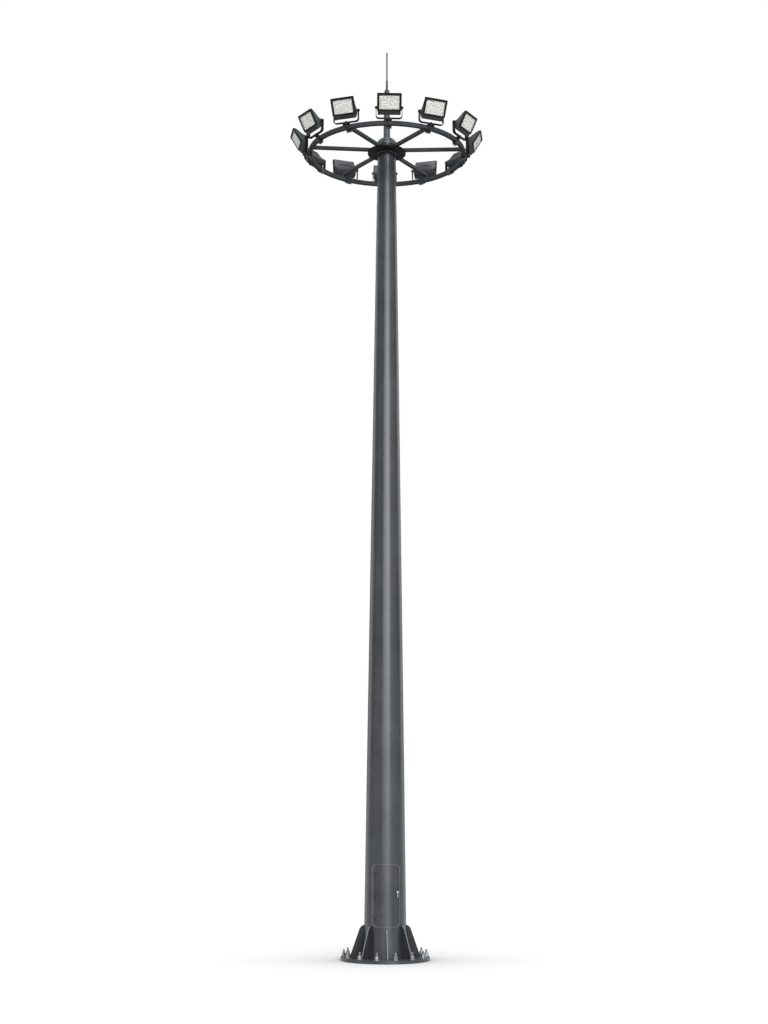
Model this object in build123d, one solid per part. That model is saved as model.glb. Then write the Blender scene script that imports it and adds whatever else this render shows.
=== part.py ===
from build123d import *

import os
from math import asin, cos, degrees, radians, sin, sqrt

# High mast floodlight tower: a tapered round steel mast on a bolted base, with a ring of floodlights at its head.
# Millimetres, +Z up. The origin is the centre of the base flange's underside, and the access door faces -Y.
# A bearing is an angle about +Z, in degrees, from -Y towards +X. A lamp is drawn at bearing 0 and turned to its own.

# Fits
WELD_GAP = 0.3  # between curved faces that are welded or clamped together
PIN_FIT = 0.05  # radial clearance of a pin in its hole
WASHER_GAP = 0.5  # between a turning piece and the face beside it

# Base
FLANGE_RADIUS = 840.0
FLANGE_THICK = 60.0
CABLE_HOLE_RADIUS = 250.0
ANCHOR_COUNT = 14
ANCHOR_CIRCLE_RADIUS = 777.0
ANCHOR_TURN = -2.4  # of the bolt pattern from a middle between two bolts, in degrees
ANCHOR_HOLE_RADIUS = 21.0
GUSSET_COUNT = 8
GUSSET_THICK = 25.0
GUSSET_FOOT_RADIUS = 655.0
GUSSET_TOE = 30.0
GUSSET_TOP = 650.0
GUSSET_SHOULDER = 58.0  # reach of a gusset's top beyond the mast
GUSSET_SHOULDER_FILLET = 130.0
FRONT_GUSSET_DROP = 9.0  # below the door frame, so that the front gusset clears it

# Mast
MAST_FOOT_RADIUS = 408.0  # at height 0
MAST_TAPER = 0.01381  # radius lost per unit of height
MAST_WALL = 8.0
STAVE_COUNT = 8
LINTEL_HEIGHT = 197.0  # of foot wall above the doorway
TOP_SECTION_LENGTH = 1290.0
SEAM_STEP = 2.0  # the top section is smaller than the shaft by this much in radius
MAST_STUB = 145.0  # of mast above the hub plate

# Access door
DOOR_WIDTH = 454.0
DOOR_HEIGHT = 1097.0
DOOR_SILL = 651.0
DOOR_GAP = 5.0
DOOR_CORNER = 65.0
DOOR_THICK = 8.0
FRAME_HINGE_SIDE = 54.0
FRAME_LOCK_SIDE = 28.0
FRAME_HEAD = 23.0
FRAME_FOOT = 31.0
FRAME_PROUD = 14.0

# Door hinges
HINGE_COUNT = 3
HINGE_INSET = 149.0  # from the door's ends to the first and last hinge
HINGE_SET = 27.0  # from the door's edge to the hinge axis, across the door
HINGE_CLEAR = 5.5  # under the knuckles and straps
KNUCKLE_RADIUS = 10.0
KNUCKLE_HEIGHT = 35.0
HINGE_PIN_RADIUS = 5.0
HINGE_PIN_HEIGHT = 28.0
STRAP_THICK = 6.0
STRAP_BEARING = 9.0  # how far round the mast a strap reaches from its knuckle
STRAP_FOOT_BEARING = 4.0  # how much of that lies on the door

# Door lock
LOCK_EDGE = 31.0  # from the door's free edge to the spindle
LOCK_HEIGHT = 614.0  # above the door's lower edge
LOCK_PLATE_RADIUS = 28.0
LOCK_PLATE_THICK = 5.0
LOCK_SPINDLE_RADIUS = 12.0
LOCK_STANDOFF = 12.0  # of the handle from the plate
LOCK_HEAD_WIDTH = 60.0
LOCK_HEAD_HEIGHT = 26.0
LOCK_TAIL_WIDTH = 16.0
LOCK_TAIL_LENGTH = 100.0
LOCK_HANDLE_THICK = 10.0

# Lamp ring
RING_UNDERSIDE = 15975.0
RING_RADIUS = 1579.0
RING_WIDTH = 76.0
RING_HEIGHT = 80.0
RING_WALL = 5.0
HEAD_TURN = -2.5  # bearing of the first lamp

# Hub and spokes
HUB_RADIUS = 391.0
HUB_THICK = 50.0
SPOKE_BEARINGS = [34, 86, 146, -146, -86, -34]  # from the first lamp; each stands beside a clamp
SPOKE_SIZE = 65.0
SPOKE_WALL = 4.0
SPOKE_PAD = 30.0  # height of the pad between the ring and a spoke
SPOKE_PAD_LENGTH = 38.0
SPOKE_CLEAR = 20.0  # between a spoke's inner end and the mast

# Clamps that carry the floodlights
CLAMP_WIDTH = 108.0
CLAMP_WALL = 12.0
CLAMP_LUG = 30.0
CLAMP_LUG_DROP = 50.0
CLAMP_OVERHANG = 30.0  # of the clamp's arm past the yoke's centreline

# Floodlights
LAMP_COUNT = 12
# Round from the first lamp: degrees below level, and degrees that each yoke is turned on its clamp.
AIM_DOWN = [30, 28, 28, 32, 16, 10, 10, 10, 16, 32, 28, 28]
YOKE_TURN = [0, -10, -3, -8, 8, 12, 0, -12, -8, 8, 3, 10]
YOKE_REACH = 96.0  # from the ring's centreline out to the tilt axis
YOKE_RISE = 229.7  # from the clamp's top up to the tilt axis
YOKE_WIDTH = 521.0
YOKE_BAR = 60.0
YOKE_THICK = 12.0
YOKE_CORNER = 60.0
YOKE_EYE_RADIUS = 25.0
TILT_PIN_RADIUS = 12.0
KNOB_RADIUS = 25.0
KNOB_LENGTH = 17.0
BOSS_RADIUS = 28.0
BEZEL_WIDTH = 480.0
BEZEL_BOTTOM = -47.0  # from the tilt axis, along the face
BEZEL_TOP = 293.0
FACE_REACH = 162.0  # from the tilt axis forward to the face
BEZEL_THICK = 17.0
BODY_WIDTH = 450.0
BODY_FILLET = 9.0
GLASS_WIDTH = 395.0
GLASS_BOTTOM = -19.0
GLASS_TOP = 248.0
GLASS_THICK = 8.0
GLASS_SET_BACK = 1.0
# Side outline of the housing behind its bezel: forward of the tilt axis, and above it, with the face upright.
BODY_OUTLINE = [
    (152, -44), (140, -118), (122, -129), (30, -92), (-30, -30),
    (-30, 24), (21, 70), (87, 240), (108, 280), (152, 288),
]

# Head pipe and lightning rod
CAP_OVERHANG = 13.722  # of the cap beyond the mast at its lower edge
CAP_LIP = 30.0  # of the cap below the mast's top, and as much above it
CAP_DOME = 125.0
CAP_WALL = 8.0
PIPE_FOOT_RADIUS = 70.0
PIPE_HEAD_RADIUS = 55.5
PIPE_LENGTH = 1007.3
PIPE_WALL = 5.0
SOCKET_DOME = 84.0
SOCKET_RADIUS = 22.0
SOCKET_LENGTH = 178.0
ROD_RADIUS = 15.5
ROD_LENGTH = 584.0  # above its socket
ROD_DEPTH = 90.0  # inside its socket
TIP_RADIUS = 21.0
TIP_LENGTH = 51.0

# Heights and places that follow from those sizes
RING_TOP = RING_UNDERSIDE + RING_HEIGHT
CLAMP_TOP = RING_TOP + WELD_GAP + CLAMP_WALL
SPOKE_UNDERSIDE = RING_TOP + SPOKE_PAD
HUB_UNDERSIDE = SPOKE_UNDERSIDE - HUB_THICK
MAST_TOP = SPOKE_UNDERSIDE + MAST_STUB
SEAM_HEIGHT = MAST_TOP - TOP_SECTION_LENGTH
TILT_RADIUS = RING_RADIUS + YOKE_REACH
TILT_HEIGHT = CLAMP_TOP + YOKE_RISE
DOOR_TOP = DOOR_SILL + DOOR_HEIGHT
FOOT_TOP = DOOR_TOP + DOOR_GAP + LINTEL_HEIGHT
FRAME_UNDERSIDE = DOOR_SILL - DOOR_GAP - FRAME_FOOT
HINGE_HEIGHTS = [
    DOOR_SILL + HINGE_INSET + (DOOR_HEIGHT - 2 * HINGE_INSET) * step / (HINGE_COUNT - 1)
    for step in range(HINGE_COUNT)
]


def mast_radius(height):
    """Outside radius of the mast at a height."""
    return MAST_FOOT_RADIUS - MAST_TAPER * height


CAP_RADIUS = mast_radius(MAST_TOP - CAP_LIP) + CAP_OVERHANG
HINGE_RADIUS = mast_radius(HINGE_HEIGHTS[0] - KNUCKLE_HEIGHT) + FRAME_PROUD + HINGE_CLEAR + KNUCKLE_RADIUS
HINGE_X = -(DOOR_WIDTH / 2 + HINGE_SET)
HINGE_Y = -sqrt(HINGE_RADIUS**2 - HINGE_X**2)
HINGE_BEARING = degrees(asin(HINGE_X / HINGE_RADIUS))
LOCK_X = DOOR_WIDTH / 2 - LOCK_EDGE
LOCK_Z = DOOR_SILL + LOCK_HEIGHT
LOCK_SURFACE = mast_radius(LOCK_Z) + DOOR_THICK
LOCK_BEARING = degrees(asin(LOCK_X / LOCK_SURFACE))


def frustum(low, high, offset=0.0):
    """Solid of the mast's outside between two heights, grown by an offset in radius."""
    cone = Cone(mast_radius(low) + offset, mast_radius(high) + offset, high - low)
    return Pos(0, 0, (low + high) / 2) * cone


def mast_shell(low, high, inner, outer):
    """Tapered tube between two heights, between two offsets from the mast's outside."""
    return frustum(low, high, outer) - frustum(low, high, inner)


def disc(low, high, radius):
    """Upright cylinder on the mast's centreline between two heights."""
    return Pos(0, 0, (low + high) / 2) * Cylinder(radius, high - low)


def block(x_low, x_high, y_low, y_high, z_low, z_high):
    """Box between two corners."""
    centre = Pos((x_low + x_high) / 2, (y_low + y_high) / 2, (z_low + z_high) / 2)
    return centre * Box(x_high - x_low, y_high - y_low, z_high - z_low)


def door_prism(grow_side, grow_foot, grow_head, corner):
    """Prism through the front of the mast with the door's rounded outline, grown at its sides, foot and head."""
    width = DOOR_WIDTH + 2 * grow_side
    low, high = DOOR_SILL - grow_foot, DOOR_TOP + grow_head
    outline = Plane.XZ * Pos(0, (low + high) / 2) * RectangleRounded(width, high - low, corner)
    return extrude(outline, MAST_FOOT_RADIUS * 2)


def turn(shape, bearing):
    """Shape drawn at bearing 0, turned about the mast to a bearing."""
    return Rot(0, 0, bearing) * shape


def sector(outline, width_angle):
    """Section drawn in the YZ plane, swept about the mast through an angle centred on bearing 0."""
    return turn(revolve(outline, Axis.Z, width_angle), -width_angle / 2)


def side_section(points):
    """Face in the YZ plane, from points of radius and height at bearing 0."""
    corners = [(-radius, height) for radius, height in points]
    return Plane.YZ * make_face(Polyline(*corners, close=True))


def side_box(radius_low, radius_high, low, high):
    """Rectangular section in the YZ plane at bearing 0."""
    return side_section([(radius_low, low), (radius_high, low), (radius_high, high), (radius_low, high)])


def base_flange():
    """Round base plate with its ring of anchor bolt holes."""
    plate = disc(0, FLANGE_THICK, FLANGE_RADIUS) - disc(-FLANGE_THICK, FLANGE_THICK * 2, CABLE_HOLE_RADIUS)
    hole = Pos(0, -ANCHOR_CIRCLE_RADIUS, FLANGE_THICK / 2) * Cylinder(ANCHOR_HOLE_RADIUS, FLANGE_THICK * 2)
    step = 360 / ANCHOR_COUNT
    for index in range(ANCHOR_COUNT):
        plate -= turn(hole, ANCHOR_TURN + (index + 0.5) * step)
    return plate


def gusset(top):
    """Upright stiffener at bearing 0, from the flange up the mast to a height."""
    shoulder = mast_radius(top) + GUSSET_SHOULDER
    inside = mast_radius(top) / 2
    profile = side_section([
        (inside, FLANGE_THICK), (GUSSET_FOOT_RADIUS, FLANGE_THICK), (GUSSET_FOOT_RADIUS, FLANGE_THICK + GUSSET_TOE),
        (shoulder, top), (inside, top),
    ])
    corner = profile.vertices().sort_by_distance((0, -shoulder, top))[0]
    profile = fillet(corner, GUSSET_SHOULDER_FILLET)
    plate = extrude(profile, GUSSET_THICK / 2, both=True)
    return plate - frustum(0, top * 2, WELD_GAP)


def base_gussets():
    """All the stiffeners, with a shorter one under the door."""
    step = 360 / GUSSET_COUNT
    front = gusset(FRAME_UNDERSIDE - FRONT_GUSSET_DROP)
    side = gusset(GUSSET_TOP)
    return [front] + [turn(side, index * step) for index in range(1, GUSSET_COUNT)]


def foot_walls():
    """Foot of the mast as wall pieces round the doorway: sill, lintel, left, right and back."""
    shell = mast_shell(FLANGE_THICK, FOOT_TOP, -MAST_WALL, 0)
    half = DOOR_WIDTH / 2 + DOOR_GAP
    reach = MAST_FOOT_RADIUS * 2
    front = shell & block(-half, half, -reach, 0, FLANGE_THICK, FOOT_TOP)
    front -= door_prism(DOOR_GAP, DOOR_GAP, DOOR_GAP, DOOR_CORNER + DOOR_GAP)
    middle = (DOOR_SILL + DOOR_TOP) / 2
    return {
        "mast_foot_sill": front & block(-half, half, -reach, 0, FLANGE_THICK, middle),
        "mast_foot_lintel": front & block(-half, half, -reach, 0, middle, FOOT_TOP),
        "mast_foot_left": shell & block(-reach, -half, -reach, reach, FLANGE_THICK, FOOT_TOP),
        "mast_foot_right": shell & block(half, reach, -reach, reach, FLANGE_THICK, FOOT_TOP),
        "mast_foot_back": shell & block(-half, half, 0, reach, FLANGE_THICK, FOOT_TOP),
    }


def hinge_place(height):
    """Location on the door's hinge axis, turned so that its -Y points straight out from the mast."""
    return Pos(HINGE_X, HINGE_Y, height) * Rot(0, 0, HINGE_BEARING)


def fixed_knuckle(height):
    """Lower half of a lift-off hinge on the frame, with its pin standing up from a height."""
    middle = height - KNUCKLE_HEIGHT / 2
    barrel = hinge_place(middle) * Cylinder(KNUCKLE_RADIUS, KNUCKLE_HEIGHT)
    root = HINGE_RADIUS - mast_radius(middle) - FRAME_PROUD / 2
    web = hinge_place(middle) * Pos(0, root / 2, 0) * Box(KNUCKLE_RADIUS * 1.6, root, KNUCKLE_HEIGHT)
    pin = hinge_place(height + HINGE_PIN_HEIGHT / 2) * Cylinder(HINGE_PIN_RADIUS, HINGE_PIN_HEIGHT)
    return barrel + web + pin


def door_frame():
    """Raised surround of the doorway, with the fixed halves of the hinges."""
    low, high = FRAME_UNDERSIDE - DOOR_GAP, DOOR_TOP + DOOR_GAP + FRAME_HEAD + DOOR_GAP
    rim = mast_shell(low, high, WELD_GAP, FRAME_PROUD)
    outer = door_prism(
        DOOR_GAP + (FRAME_HINGE_SIDE + FRAME_LOCK_SIDE) / 2, DOOR_GAP + FRAME_FOOT, DOOR_GAP + FRAME_HEAD,
        DOOR_CORNER + DOOR_GAP + FRAME_HEAD,
    )
    outer = Pos((FRAME_LOCK_SIDE - FRAME_HINGE_SIDE) / 2, 0, 0) * outer
    inner = door_prism(DOOR_GAP, DOOR_GAP, DOOR_GAP, DOOR_CORNER + DOOR_GAP)
    frame = (rim & outer) - inner
    for height in HINGE_HEIGHTS:
        frame += fixed_knuckle(height)
    return frame


def hinge_strap(height):
    """Upper half of a lift-off hinge: a bored knuckle, and a strap round to its foot on the door."""
    low, high = height + WASHER_GAP, height + WASHER_GAP + KNUCKLE_HEIGHT
    barrel = hinge_place((low + high) / 2) * Cylinder(KNUCKLE_RADIUS, KNUCKLE_HEIGHT)
    bore = hinge_place((low + high) / 2) * Cylinder(HINGE_PIN_RADIUS + PIN_FIT, KNUCKLE_HEIGHT * 2)
    under = HINGE_RADIUS - KNUCKLE_RADIUS
    strap = sector(side_box(under, under + STRAP_THICK, low, high), STRAP_BEARING)
    strap = turn(strap, HINGE_BEARING + STRAP_BEARING / 2)
    seat = mast_radius(high) + DOOR_THICK / 2
    foot = sector(side_box(seat, under + STRAP_THICK, low, high), STRAP_FOOT_BEARING)
    foot = turn(foot, HINGE_BEARING + STRAP_BEARING - STRAP_FOOT_BEARING / 2)
    return (barrel + strap + foot) - bore


def access_door():
    """Curved door leaf with its hinge straps and the round plate of its lock."""
    leaf = mast_shell(DOOR_SILL - DOOR_GAP, DOOR_TOP + DOOR_GAP, 0, DOOR_THICK) & door_prism(0, 0, 0, DOOR_CORNER)
    for height in HINGE_HEIGHTS:
        leaf += hinge_strap(height)
    depth = LOCK_PLATE_THICK + DOOR_THICK / 2
    plate = Pos(0, -LOCK_SURFACE - LOCK_PLATE_THICK + depth / 2, LOCK_Z) * Rot(90, 0, 0)
    leaf += turn(plate * Cylinder(LOCK_PLATE_RADIUS, depth), LOCK_BEARING)
    return leaf


def door_lock():
    """Handle of the lock: a spindle, and a T with its tail hanging down."""
    near = LOCK_SURFACE + LOCK_PLATE_THICK + WASHER_GAP
    far = near + LOCK_STANDOFF + LOCK_HANDLE_THICK
    spindle = Pos(0, -(near + far) / 2, LOCK_Z) * Rot(90, 0, 0) * Cylinder(LOCK_SPINDLE_RADIUS, far - near)
    head = Plane.XZ * RectangleRounded(LOCK_HEAD_WIDTH, LOCK_HEAD_HEIGHT, LOCK_HEAD_HEIGHT / 3)
    tail = Plane.XZ * Pos(0, -LOCK_TAIL_LENGTH / 2) * RectangleRounded(
        LOCK_TAIL_WIDTH, LOCK_TAIL_LENGTH, LOCK_TAIL_WIDTH / 3
    )
    handle = Pos(0, -far + LOCK_HANDLE_THICK, LOCK_Z) * extrude(head + tail, LOCK_HANDLE_THICK)
    return turn(spindle + handle, LOCK_BEARING)


def mast_staves(low, high, offset):
    """Length of the mast between two heights, as rolled staves that are welded edge to edge."""
    shell = mast_shell(low, high, -MAST_WALL, offset)
    reach = MAST_FOOT_RADIUS * 2
    half_step = radians(180 / STAVE_COUNT)
    edge = WELD_GAP / 2
    tip = (0, -edge / sin(half_step))
    sides = [(side * reach * sin(half_step), tip[1] - reach * cos(half_step)) for side in (-1, 1)]
    wedge = extrude(Plane.XY * make_face(Polyline(tip, *sides, close=True)), high)
    return [shell & turn(wedge, index * 360 / STAVE_COUNT) for index in range(STAVE_COUNT)]


def mast_shaft():
    """Long tapered tube from the foot to the seam."""
    return mast_staves(FOOT_TOP, SEAM_HEIGHT, 0)


def mast_top_section():
    """Last length of the mast, a little smaller than the shaft below it."""
    return mast_staves(SEAM_HEIGHT, MAST_TOP, -SEAM_STEP)


def hub_plate():
    """Round plate that the spokes stand on, fitted round the mast."""
    mast = frustum(HUB_UNDERSIDE - HUB_THICK, SPOKE_UNDERSIDE + HUB_THICK, -SEAM_STEP + WELD_GAP)
    return disc(HUB_UNDERSIDE, SPOKE_UNDERSIDE, HUB_RADIUS) - mast


def at_spokes(shape):
    """Shape drawn at bearing 0, at the bearing of every spoke."""
    return [turn(shape, HEAD_TURN + bearing) for bearing in SPOKE_BEARINGS]


def hub_spokes():
    """Square tubes from the hub plate out to the lamp ring's centreline."""
    inner = mast_radius(SPOKE_UNDERSIDE) + SPOKE_CLEAR
    low, high = SPOKE_UNDERSIDE, SPOKE_UNDERSIDE + SPOKE_SIZE
    half, bore = SPOKE_SIZE / 2, SPOKE_SIZE / 2 - SPOKE_WALL
    tube = block(-half, half, -RING_RADIUS, -inner, low, high)
    tube -= block(-bore, bore, -RING_RADIUS * 2, 0, low + SPOKE_WALL, high - SPOKE_WALL)
    return at_spokes(tube)


def spoke_pads():
    """Pads that carry the spokes' outer ends on the lamp ring."""
    half = SPOKE_SIZE / 2
    return at_spokes(block(-half, half, -RING_RADIUS, SPOKE_PAD_LENGTH - RING_RADIUS, RING_TOP, SPOKE_UNDERSIDE))


def lamp_ring():
    """Ring of square tube that carries the clamps."""
    half = RING_WIDTH / 2
    outside = side_box(RING_RADIUS - half, RING_RADIUS + half, RING_UNDERSIDE, RING_TOP)
    half -= RING_WALL
    bore = side_box(RING_RADIUS - half, RING_RADIUS + half, RING_UNDERSIDE + RING_WALL, RING_TOP - RING_WALL)
    return revolve(outside - bore, Axis.Z, 360)


def ring_clamp():
    """Collar round the ring at bearing 0, with an arm that carries a yoke and a lug below."""
    half = RING_WIDTH / 2 + WELD_GAP
    inner, outer = RING_RADIUS - half, RING_RADIUS + half
    low, high = RING_UNDERSIDE - WELD_GAP, RING_TOP + WELD_GAP
    tip = TILT_RADIUS + CLAMP_OVERHANG
    collar = side_box(inner - CLAMP_WALL, outer + CLAMP_WALL, low - CLAMP_WALL, CLAMP_TOP)
    collar += side_box(outer, tip, high, CLAMP_TOP)
    collar += side_box(inner - CLAMP_WALL, inner + CLAMP_LUG, low - CLAMP_LUG_DROP, low)
    collar -= side_box(inner, outer, low, high)
    return sector(collar, degrees(CLAMP_WIDTH / RING_RADIUS))


def floodlight_yoke():
    """U of flat bar at bearing 0 that stands on its clamp, with an eye for each tilt pin."""
    half = YOKE_WIDTH / 2
    height = YOKE_RISE + YOKE_EYE_RADIUS
    outside = Pos(0, height / 2) * RectangleRounded(YOKE_WIDTH, height, YOKE_CORNER)
    outside += Pos(0, height * 3 / 4) * Rectangle(YOKE_WIDTH, height / 2)
    inside_height = height * 2 - YOKE_THICK
    inside = Pos(0, YOKE_THICK + inside_height / 2) * RectangleRounded(
        YOKE_WIDTH - 2 * YOKE_THICK, inside_height, YOKE_CORNER - YOKE_THICK
    )
    bar = extrude(Plane.XZ * (outside - inside), YOKE_BAR / 2, both=True)
    for side in (-1, 1):
        across = Pos(side * (half - YOKE_THICK / 2), 0, YOKE_RISE) * Rot(0, 90, 0)
        bar += across * Cylinder(YOKE_EYE_RADIUS, YOKE_THICK)
        bar -= across * Cylinder(TILT_PIN_RADIUS + PIN_FIT, YOKE_THICK * 2)
    return Pos(0, -TILT_RADIUS, CLAMP_TOP) * bar


def set_yoke(shape, index):
    """Shape drawn at bearing 0, turned with its yoke on the clamp and set at its own bearing."""
    shape = Pos(0, TILT_RADIUS, 0) * shape
    return turn(Pos(0, -TILT_RADIUS, 0) * Rot(0, 0, YOKE_TURN[index]) * shape, lamp_bearing(index))


def housing_part(width, points):
    """Prism across the lamp from side outline points, forward of and above the tilt axis."""
    return side_section([(TILT_RADIUS + forward, TILT_HEIGHT + above) for forward, above in points]), width / 2


def floodlight_housing():
    """Lamp housing at bearing 0 aimed level: wedge body, bezel, and tilt pins with their knobs."""
    section, half = housing_part(BODY_WIDTH, BODY_OUTLINE)
    body = extrude(fillet(section.vertices(), BODY_FILLET), half, both=True)
    face = TILT_RADIUS + FACE_REACH
    bezel = block(
        -BEZEL_WIDTH / 2, BEZEL_WIDTH / 2, -face, -face + BEZEL_THICK * 1.5, TILT_HEIGHT + BEZEL_BOTTOM,
        TILT_HEIGHT + BEZEL_TOP,
    )
    pocket = glass_block(0.0)
    shape = body + bezel - pocket
    for side in (-1, 1):
        shape += tilt_pin(side)
    return shape


def tilt_pin(side):
    """Boss, pin and knob on one side of a housing, through the yoke's eye."""
    def rod(start, end, radius):
        middle = Pos(side * (start + end) / 2, -TILT_RADIUS, TILT_HEIGHT) * Rot(0, 90, 0)
        return middle * Cylinder(radius, end - start)

    arm = YOKE_WIDTH / 2
    boss = rod(BODY_WIDTH / 2 - BODY_FILLET, arm - YOKE_THICK - WASHER_GAP, BOSS_RADIUS)
    pin = rod(BODY_WIDTH / 2, arm + KNOB_LENGTH, TILT_PIN_RADIUS)
    knob = rod(arm + WASHER_GAP, arm + WASHER_GAP + KNOB_LENGTH, KNOB_RADIUS)
    return boss + pin + knob


def glass_block(set_back):
    """Slab of the front glass at bearing 0 aimed level, set back from the bezel's face."""
    back = TILT_RADIUS + FACE_REACH - GLASS_SET_BACK - GLASS_THICK
    front = TILT_RADIUS + FACE_REACH - set_back
    return block(
        -GLASS_WIDTH / 2, GLASS_WIDTH / 2, -front, -back, TILT_HEIGHT + GLASS_BOTTOM, TILT_HEIGHT + GLASS_TOP
    )


def aim(shape, index):
    """Lamp piece drawn at bearing 0 and aimed level, tilted and turned to its own place."""
    shape = Pos(0, TILT_RADIUS, -TILT_HEIGHT) * shape
    return set_yoke(Pos(0, -TILT_RADIUS, TILT_HEIGHT) * Rot(AIM_DOWN[index], 0, 0) * shape, index)


def lamp_bearing(index):
    """Bearing of a lamp, its yoke and its clamp."""
    return HEAD_TURN + index * 360 / LAMP_COUNT


def mast_cap():
    """Domed cap that sits over the mast's top, flat where the head pipe stands on it."""
    spring = MAST_TOP + CAP_LIP
    flat = PIPE_FOOT_RADIUS + PIPE_WALL
    crown = spring + CAP_DOME * sqrt(1 - (flat / CAP_RADIUS) ** 2)
    mast_outside = mast_radius(MAST_TOP - CAP_LIP) - SEAM_STEP + WELD_GAP
    mast_inside = mast_radius(MAST_TOP) - MAST_WALL
    dome = Pos(0, 0, spring) * scale(Sphere(1), by=(CAP_RADIUS, CAP_RADIUS, CAP_DOME))
    outside = disc(MAST_TOP - CAP_LIP, spring, CAP_RADIUS) + (dome & disc(spring, crown, CAP_RADIUS * 2))
    hollow = disc(MAST_TOP, spring, mast_inside)
    skirt = disc(MAST_TOP - CAP_LIP, MAST_TOP, mast_outside)
    return outside - hollow - skirt


def cap_crown():
    """Height of the cap's flat top."""
    flat = PIPE_FOOT_RADIUS + PIPE_WALL
    return MAST_TOP + CAP_LIP + CAP_DOME * sqrt(1 - (flat / CAP_RADIUS) ** 2)


def head_pipe():
    """Tapered pipe from the cap up to the rod's socket."""
    low = cap_crown()
    outside = Cone(PIPE_FOOT_RADIUS, PIPE_HEAD_RADIUS, PIPE_LENGTH)
    bore = Cone(PIPE_FOOT_RADIUS - PIPE_WALL, PIPE_HEAD_RADIUS - PIPE_WALL, PIPE_LENGTH)
    return Pos(0, 0, low + PIPE_LENGTH / 2) * (outside - bore)


def rod_socket():
    """Domed pipe cap with the socket that holds the rod."""
    low = cap_crown() + PIPE_LENGTH
    dome = scale(Sphere(1), by=(PIPE_HEAD_RADIUS, PIPE_HEAD_RADIUS, SOCKET_DOME))
    dome = Pos(0, 0, low) * dome & disc(low, low + SOCKET_DOME * 2, PIPE_HEAD_RADIUS * 2)
    top = low + SOCKET_DOME + SOCKET_LENGTH
    stem = disc(low + SOCKET_DOME / 2, top, SOCKET_RADIUS)
    return dome + stem - disc(top - ROD_DEPTH, top + ROD_DEPTH, ROD_RADIUS + WELD_GAP)


def lightning_rod():
    """Rod with its tip, standing in the socket."""
    top = cap_crown() + PIPE_LENGTH + SOCKET_DOME + SOCKET_LENGTH
    rod = disc(top - ROD_DEPTH, top + ROD_LENGTH, ROD_RADIUS)
    tip = Pos(0, 0, top + ROD_LENGTH + TIP_LENGTH / 2) * Cone(TIP_RADIUS, TIP_RADIUS / 3, TIP_LENGTH)
    return rod + tip


def write(name, shape):
    """Writes one piece, or a list of separate solids that share a node, as a STEP file."""
    if isinstance(shape, list):
        shape = Compound(children=[solid for item in shape for solid in item.solids()])
    export_step(shape, os.path.join("parts", name + ".step"))


def main():
    os.makedirs("parts", exist_ok=True)
    pieces = {
        "base_flange": base_flange(),
        "base_gussets": base_gussets(),
        **foot_walls(),
        "door_frame": door_frame(),
        "access_door": access_door(),
        "door_lock": door_lock(),
        "mast_shaft": mast_shaft(),
        "mast_top_section": mast_top_section(),
        "hub_plate": hub_plate(),
        "hub_spokes": hub_spokes(),
        "spoke_pads": spoke_pads(),
        "lamp_ring": lamp_ring(),
        "ring_clamps": [turn(ring_clamp(), lamp_bearing(index)) for index in range(LAMP_COUNT)],
        "floodlight_yokes": [set_yoke(floodlight_yoke(), index) for index in range(LAMP_COUNT)],
        "mast_cap": mast_cap(),
        "head_pipe": head_pipe(),
        "rod_socket": rod_socket(),
        "lightning_rod": lightning_rod(),
    }
    housing, glass = floodlight_housing(), glass_block(GLASS_SET_BACK)
    for index in range(LAMP_COUNT):
        pieces[f"floodlight_{index + 1:02d}_housing"] = aim(housing, index)
        pieces[f"floodlight_{index + 1:02d}_glass"] = aim(glass, index)
    for name, shape in pieces.items():
        write(name, shape)


main()
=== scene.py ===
"""High mast floodlight tower: finishes, small parts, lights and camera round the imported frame."""

import logging
import math
from dataclasses import dataclass, field
from enum import Enum
from typing import Callable, Iterable

import bmesh
import bpy
from mathutils import Matrix, Vector

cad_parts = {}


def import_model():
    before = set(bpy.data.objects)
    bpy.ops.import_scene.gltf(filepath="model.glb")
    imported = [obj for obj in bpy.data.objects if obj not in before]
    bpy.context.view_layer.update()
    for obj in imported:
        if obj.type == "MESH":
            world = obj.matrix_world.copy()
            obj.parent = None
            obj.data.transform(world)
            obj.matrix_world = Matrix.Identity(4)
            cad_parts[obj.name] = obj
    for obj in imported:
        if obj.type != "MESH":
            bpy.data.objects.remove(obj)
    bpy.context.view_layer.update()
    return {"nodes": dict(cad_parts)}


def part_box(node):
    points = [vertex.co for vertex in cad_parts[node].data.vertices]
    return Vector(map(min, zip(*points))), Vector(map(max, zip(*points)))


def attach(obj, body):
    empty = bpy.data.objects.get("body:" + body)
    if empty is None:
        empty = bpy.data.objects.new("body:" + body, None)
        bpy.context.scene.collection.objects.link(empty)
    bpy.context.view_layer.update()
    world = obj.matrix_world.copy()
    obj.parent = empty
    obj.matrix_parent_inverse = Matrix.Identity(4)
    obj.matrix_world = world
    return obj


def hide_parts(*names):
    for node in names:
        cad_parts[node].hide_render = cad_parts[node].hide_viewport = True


LOG = logging.getLogger("tower")
MM = 0.001


# ---------------------------------------------------------------- colour and nodes

def linear(code: str) -> tuple[float, float, float, float]:
    """Turns an sRGB hex colour into the linear colour that a shader takes.

    Args:
        code: Six hex digits, with or without a leading hash.

    Returns:
        Linear red, green, blue and an alpha of one.
    """
    digits = code.lstrip("#")
    channels = [int(digits[i:i + 2], 16) / 255 for i in (0, 2, 4)]
    red, green, blue = [c / 12.92 if c <= 0.04045 else ((c + 0.055) / 1.055) ** 2.4 for c in channels]
    return red, green, blue, 1.0


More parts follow.
